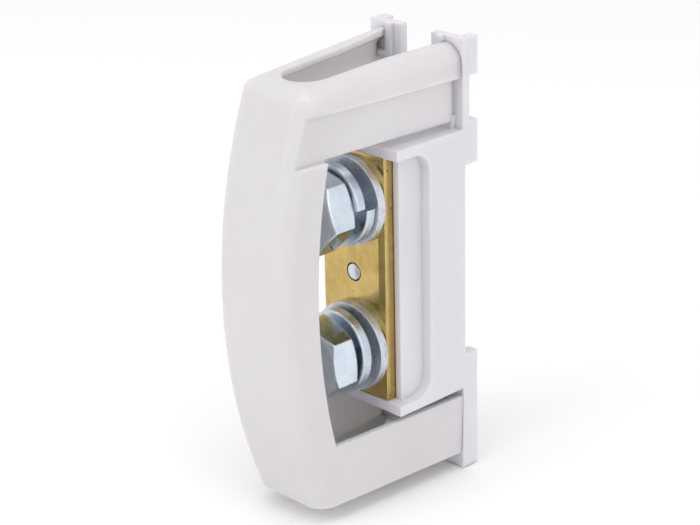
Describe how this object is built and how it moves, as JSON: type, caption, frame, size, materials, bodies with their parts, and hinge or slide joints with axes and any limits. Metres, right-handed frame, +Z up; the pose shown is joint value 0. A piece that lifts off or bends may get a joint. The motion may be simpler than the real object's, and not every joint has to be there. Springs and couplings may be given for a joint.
{
  "type": "power distribution block",
  "caption": "Rail-mounted power distribution block: moulded base with a brass busbar, bolted terminals and an arched cover that bridges them.",
  "frame": {"origin": "centre of the rail seat, on the plane that rests on the rail's brim, midway between the two sides and the two feet", "axes": "+X along the rail, +Y into the rail (to the back of the block), +Z up across the rail"},
  "size_m": [0.0218, 0.044, 0.08],
  "materials": {
    "base_plastic": "light grey moulded thermoplastic, fine satin grain",
    "cover_plastic": "warm light grey moulded thermoplastic, satin",
    "brass": "drawn and stamped brass with fine scratches",
    "pin_steel": "plain bright steel",
    "zinc_steel": "bright zinc plate with a blue tint",
    "spring_steel": "zinc-plated spring steel",
    "washer_steel": "zinc-plated stamped steel"
  },
  "bodies": {
    "root": {"base": "base_plastic", "cover": "cover_plastic", "busbar": "brass", "fixing_pin": "pin_steel", "upper_bolt": "zinc_steel", "lower_bolt": "zinc_steel", "upper_spring_washer": "spring_steel", "lower_spring_washer": "spring_steel", "upper_flat_washer": "washer_steel", "lower_flat_washer": "washer_steel"}
  },
  "joints": []
}
